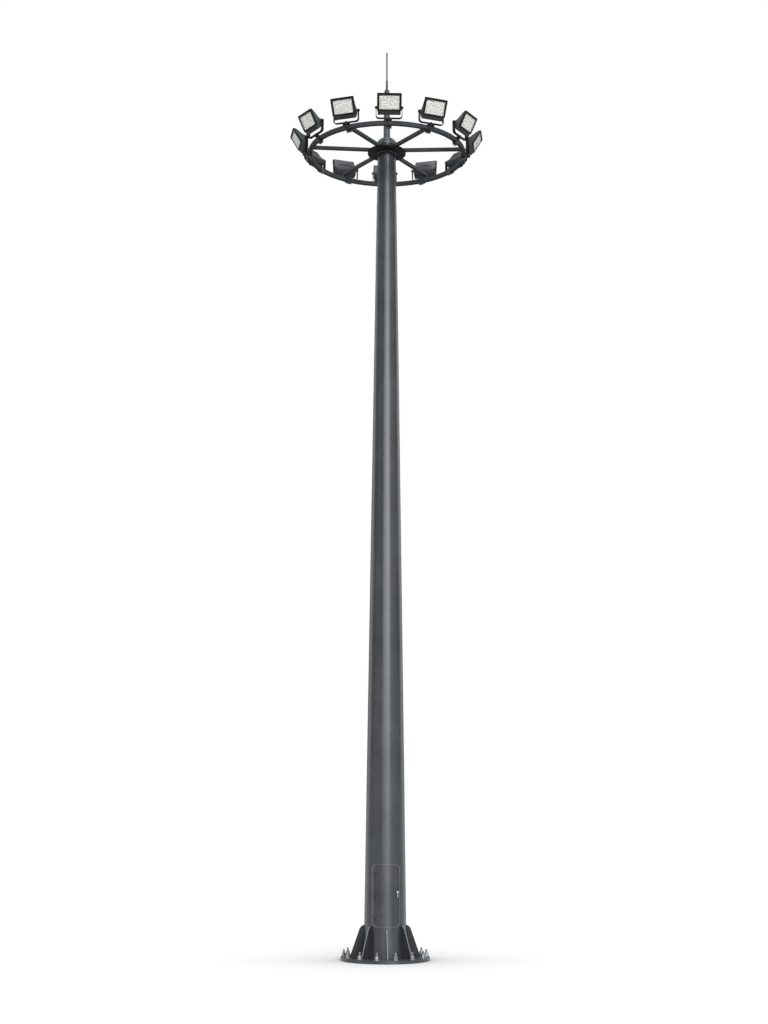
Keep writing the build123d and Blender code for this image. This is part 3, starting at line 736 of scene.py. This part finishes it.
@dataclass
class Floodlight:
    """One floodlight, drawn upright with its tilt axis at the origin and its face towards -Y."""

    head: Head
    index: int
    body_width: float = 0.450
    bezel_width: float = 0.480
    bezel_low: float = -0.047
    bezel_high: float = 0.293
    face: float = 0.162
    bezel_thick: float = 0.026
    glass_width: float = 0.395
    glass_low: float = -0.019
    glass_high: float = 0.248
    glass_thick: float = 0.006
    board_depth: float = 0.024
    pin_radius: float = 0.012
    boss_radius: float = 0.028
    knob_radius: float = 0.025
    yoke_width: float = 0.521
    yoke_thick: float = 0.012
    knob_length: float = 0.017
    outline: tuple[tuple[float, float], ...] = (
        (0.152, -0.044), (0.140, -0.118), (0.122, -0.129), (0.030, -0.092), (-0.030, -0.030), (-0.030, 0.024),
        (0.021, 0.070), (0.087, 0.240), (0.108, 0.280), (0.136, 0.288), (0.136, -0.044))
    columns: int = 13
    rows: int = 8

    @property
    def tag(self) -> str:
        """The lamp's name, which is also its body's name."""
        return f"floodlight_{self.index + 1:02d}"

    def set_place(self, mesh: bmesh.types.BMesh) -> None:
        """Moves the drawn shape to the lamp's place on the ring."""
        bmesh.ops.transform(mesh, matrix=self.head.lamp_matrix(self.index), verts=list(mesh.verts))

    def add_bezel(self, mesh: bmesh.types.BMesh) -> None:
        """Adds the bezel: a frame with rounded corners round a pocket that holds the light modules.

        Args:
            mesh: Mesh being built.
        """
        half, rim = self.bezel_width / 2, 0.012
        low, high = Vector((-half, 0, self.bezel_low)), Vector((half, 0, self.bezel_high))
        mouth_low = Vector((-self.glass_width / 2, 0, self.glass_low))
        mouth_high = Vector((self.glass_width / 2, 0, self.glass_high))

        def flat(face: bmesh.types.BMFace) -> bool:
            return all(abs(vert.co.y + self.face) < 1e-6 for vert in face.verts)

        def make() -> None:
            face = mesh.faces.new([mesh.verts.new((x, -self.face, z)) for x, z in (
                (-half, self.bezel_low), (half, self.bezel_low), (half, self.bezel_high), (-half, self.bezel_high))])
            bmesh.ops.bevel(mesh, geom=list(face.verts), offset=0.016, segments=4, profile=0.5,
                            affect="VERTICES", material=-1)
            face = next(f for f in mesh.faces if flat(f))
            rear = bmesh.ops.extrude_face_region(mesh, geom=[face])["geom"]
            bmesh.ops.translate(mesh, verts=[v for v in rear if isinstance(v, bmesh.types.BMVert)],
                                vec=(0, self.bezel_thick, 0))
            outer = list(face.edges)
            bmesh.ops.inset_region(mesh, faces=[face], thickness=rim, use_even_offset=True)
            for vert in face.verts:
                for axis, start, end, to_start, to_end in (
                        (0, low.x + rim, high.x - rim, mouth_low.x, mouth_high.x),
                        (2, low.z + rim, high.z - rim, mouth_low.z, mouth_high.z)):
                    share = (vert.co[axis] - start) / (end - start)
                    vert.co[axis] = to_start + share * (to_end - to_start)
            floor = bmesh.ops.extrude_face_region(mesh, geom=[face, *face.edges, *face.verts])["geom"]
            bmesh.ops.translate(mesh, verts=[v for v in floor if isinstance(v, bmesh.types.BMVert)],
                                vec=(0, self.board_depth, 0))
            bmesh.ops.bevel(mesh, geom=[e for e in outer if e.is_valid], offset=0.003, segments=2, profile=0.5,
                            affect="EDGES", material=-1)

        paint_new(mesh, 1, make)

    def add_fins(self, mesh: bmesh.types.BMesh) -> None:
        """Adds the level ribs on the lower front and the stepped boss on the back."""
        half = self.body_width / 2 - 0.012
        for step in range(4):
            up = -0.058 - step * 0.016
            forward = 0.152 - (abs(up) - 0.044) * 0.16
            add_box(mesh, (-half, -forward - 0.006, up - 0.003), (half, -forward + 0.012, up + 0.003), 0, 0.0015, 1)
        slope = math.atan2(0.087 - 0.021, 0.240 - 0.070)
        tilt = Matrix.Translation((0, -0.054, 0.155)) @ Matrix.Rotation(slope, 4, "X")
        for width, tall, rise in ((0.330, 0.140, 0.007), (0.250, 0.098, 0.014), (0.160, 0.058, 0.020)):
            made = add_box(mesh, (-width / 2, -0.010, -tall / 2), (width / 2, rise, tall / 2), 0, 0.0055, 3)
            bmesh.ops.transform(mesh, matrix=tilt, verts=made)

    def add_pins(self, mesh: bmesh.types.BMesh) -> None:
        """Adds the tilt bosses, pins and knobs on both sides."""
        arm = self.yoke_width / 2
        for side in (-1, 1):
            x = [side * v for v in (self.body_width / 2 - 0.009, arm - self.yoke_thick - 0.0005, arm + 0.0005,
                                    arm + 0.0005 + self.knob_length)]
            add_rod(mesh, (x[0], 0, 0), (x[1], 0, 0), self.boss_radius, 0, 32, 0.002)
            add_rod(mesh, (x[1], 0, 0), (x[2], 0, 0), self.pin_radius, 1, 24)
            add_rod(mesh, (x[2], 0, 0), (x[3], 0, 0), self.knob_radius, 1, 18, 0.004)

    def add_screws(self, mesh: bmesh.types.BMesh) -> None:
        """Adds the bezel's screws."""
        for x in (-0.216, -0.072, 0.072, 0.216):
            for z in (self.bezel_low + 0.013, self.bezel_high - 0.014):
                add_rod(mesh, (x, -self.face + 0.001, z), (x, -self.face + 0.0002, z), 0.0055, 2, 12)

    def build(self) -> None:
        """Builds the lamp's housing, light modules and pane."""
        mesh = bmesh.new()
        add_prism(mesh, list(self.outline), self.body_width / 2, 0, 0.010)
        self.add_bezel(mesh)
        self.add_fins(mesh)
        self.add_pins(mesh)
        self.add_screws(mesh)
        self.set_place(mesh)
        shell = piece(f"{self.tag}_casting", mesh, self.tag, [Finish.HOUSING, Finish.BEZEL, Finish.ZINC], 35)
        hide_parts(f"{self.tag}_housing")
        self.build_modules()
        mesh = bmesh.new()
        half = self.glass_width / 2 - 0.0005
        back = -self.face + 0.001 + self.glass_thick
        add_box(mesh, (-half, -self.face + 0.001, self.glass_low + 0.0005), (half, back, self.glass_high - 0.0005), 0,
                0.0008, 1)
        self.set_place(mesh)
        pane = piece(f"{self.tag}_pane", mesh, self.tag, [Finish.PANE], 30)
        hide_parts(f"{self.tag}_glass")

    def build_modules(self) -> None:
        """Builds the pale reflector plate with its rows of lenses, behind the pane."""
        mesh = bmesh.new()
        half = self.glass_width / 2 - 0.001
        floor = -self.face + self.board_depth - 0.0005
        add_box(mesh, (-half, floor - 0.006, self.glass_low + 0.001), (half, floor, self.glass_high - 0.001), 0, 0.0, 1)
        wide = (self.glass_width - 0.03) / self.columns
        tall = (self.glass_high - self.glass_low - 0.02) / self.rows
        for column in range(self.columns):
            for row in range(self.rows):
                x = (column - (self.columns - 1) / 2) * wide
                z = (self.glass_low + self.glass_high) / 2 + (row - (self.rows - 1) / 2) * tall
                add_rod(mesh, (x, floor - 0.006, z), (x, floor - 0.012, z), 0.0088, 1, 8, tip=0.0055)
        self.set_place(mesh)
        piece(f"{self.tag}_modules", mesh, self.tag, [Finish.BOARD, Finish.LENS], 50)


# ---------------------------------------------------------------- studio

@dataclass
class Studio:
    """Pale floor, soft light and camera."""

    distance: float = 30.93
    height: float = 3.019
    azimuth: float = -4.0
    pitch: float = 10.15
    lens: float = 55.93
    side_step: float = 0.0737  # degrees that the aim lies left of the mast
    roll: float = 0.13
    floor_size: float = 400.0
    floor_colour: str = "A5A5A5"
    floor_lift: float = 0.58
    painted_shadow_reach: float = 3.4  # how far the painted contact shadow spreads over the floor round the tower
    painted_shadow_depth: float = 2.6
    bounce_colour: str = "595959"  # how much light the floor throws back up at the tower
    sky: float = 0.26

    def build_floor(self) -> None:
        """Builds the floor, which looks white and keeps the tower's shadow in its lit part, with a painted contact
        shadow that darkens its glow near the tower.
        """
        mesh = bmesh.new()
        bmesh.ops.create_grid(mesh, x_segments=1, y_segments=1, size=self.floor_size)
        data = bpy.data.meshes.new("floor")
        mesh.to_mesh(data)
        mesh.free()
        material, tree = blank_material("pale_studio_floor")
        rays = add_node(tree, "ShaderNodeLightPath")
        seen = add_node(tree, "ShaderNodeMath", {"operation": "MAXIMUM"},
                        {0: rays.outputs["Is Camera Ray"], 1: rays.outputs["Is Glossy Ray"]})
        seen = add_node(tree, "ShaderNodeMath", {"operation": "MAXIMUM"},
                        {0: seen.outputs[0], 1: rays.outputs["Is Transmission Ray"]})
        paint = add_node(tree, "ShaderNodeBsdfDiffuse", values={"Color": linear(self.floor_colour)})
        # painted shadow: ambient occlusion darkens the floor's glow near the tower
        near = add_node(tree, "ShaderNodeAmbientOcclusion", {"samples": 16}, values={"Distance": self.painted_shadow_reach})
        painted_contact_shadow = add_node(tree, "ShaderNodeMath", {"operation": "POWER"}, {0: near.outputs["AO"]},
                       {1: self.painted_shadow_depth})
        lift = add_node(tree, "ShaderNodeMath", {"operation": "MULTIPLY"}, {0: painted_contact_shadow.outputs[0]}, {1: self.floor_lift})
        glow = add_node(tree, "ShaderNodeEmission", links={"Strength": lift.outputs[0]})
        white = add_node(tree, "ShaderNodeAddShader", links={0: paint.outputs[0], 1: glow.outputs[0]})
        matt = add_node(tree, "ShaderNodeBsdfDiffuse", values={"Color": linear(self.bounce_colour)})
        both = add_node(tree, "ShaderNodeMixShader", links={0: seen.outputs[0], 1: matt.outputs[0],
                                                            2: white.outputs[0]})
        add_node(tree, "ShaderNodeOutputMaterial", links={"Surface": both.outputs[0]})
        data.materials.append(material)
        floor = bpy.data.objects.new("floor", data)
        bpy.context.scene.collection.objects.link(floor)

    def build_world(self) -> None:
        """Builds the sky: white where it is seen, softer where it lights."""
        world = bpy.data.worlds.new("studio")
        bpy.context.scene.world = world
        world.use_nodes = True
        tree = world.node_tree
        tree.nodes.clear()
        rays = add_node(tree, "ShaderNodeLightPath")
        seen = add_node(tree, "ShaderNodeMath", {"operation": "MAXIMUM"},
                        {0: rays.outputs["Is Camera Ray"], 1: rays.outputs["Is Transmission Ray"]})
        soft = add_node(tree, "ShaderNodeBackground", values={"Color": linear("FFFFFF"), "Strength": self.sky})
        white = add_node(tree, "ShaderNodeBackground", values={"Color": linear("FFFFFF"), "Strength": 1.0})
        mix = add_node(tree, "ShaderNodeMixShader", links={0: seen.outputs[0], 1: soft.outputs[0],
                                                          2: white.outputs[0]})
        add_node(tree, "ShaderNodeOutputWorld", links={"Surface": mix.outputs[0]})

    def add_sun(self, name: str, azimuth: float, elevation: float, strength: float, angle: float) -> None:
        """Adds one soft sun.

        Args:
            name: Name of the light.
            azimuth: Degrees round the tower from the door's side.
            elevation: Degrees above level.
            strength: Strength of the light.
            angle: Spread of the light, in degrees.
        """
        light = bpy.data.lights.new(name, "SUN")
        light.energy = strength
        light.angle = math.radians(angle)
        item = bpy.data.objects.new(name, light)
        bpy.context.scene.collection.objects.link(item)
        a, e = math.radians(azimuth), math.radians(elevation)
        towards = Vector((math.sin(a) * math.cos(e), -math.cos(a) * math.cos(e), math.sin(e)))
        item.rotation_euler = towards.to_track_quat("Z", "Y").to_euler()

    def build_camera(self) -> None:
        """Builds the camera in front of the door, looking up at the head."""
        scene = bpy.context.scene
        camera = bpy.data.cameras.new("camera")
        camera.lens = self.lens
        camera.clip_end = 1000
        item = bpy.data.objects.new("camera", camera)
        scene.collection.objects.link(item)
        a = math.radians(self.azimuth)
        item.location = (self.distance * math.sin(a), -self.distance * math.cos(a), self.height)
        item.matrix_world = Matrix.Translation(item.location) \
            @ Matrix.Rotation(a + math.radians(self.side_step), 4, "Z") \
            @ Matrix.Rotation(math.radians(90 + self.pitch), 4, "X") @ Matrix.Rotation(math.radians(self.roll), 4, "Z")
        scene.camera = item
        scene.view_settings.view_transform = "Standard"

    def build(self) -> None:
        """Builds the whole studio."""
        self.build_floor()
        self.build_world()
        self.add_sun("key", 12, 14, 1.2, 26)
        self.add_sun("front", 25, 18, 0.68, 70)
        self.add_sun("overhead", 0, 86, 1.1, 16)
        self.add_sun("left_top", -95, 45, 0.8, 30)
        self.add_sun("right_top", 95, 45, 0.8, 30)
        self.add_sun("shoulder", -12, 14, 0.6, 22)
        self.add_sun("left_fill", -62, 5, 0.22, 40)
        self.add_sun("right_fill", 66, 5, 0.18, 40)
        self.add_sun("left_edge", -128, 14, 0.35, 30)
        self.add_sun("right_edge", 124, 14, 0.35, 30)
        self.build_camera()
        LOG.info("studio built")


def main() -> None:
    """Builds every piece in order."""
    logging.basicConfig(level=logging.INFO, format="%(name)s %(message)s")
    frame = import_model()
    CarriedOver().build(frame["nodes"])
    AnchorBolts().build()
    Welds().build()
    DoorTrim().build()
    head = Head()
    ClampBolts(head).build()
    for index in range(head.lamps):
        Floodlight(head, index).build()
    Studio().build()


if __name__ == "__main__":
    main()
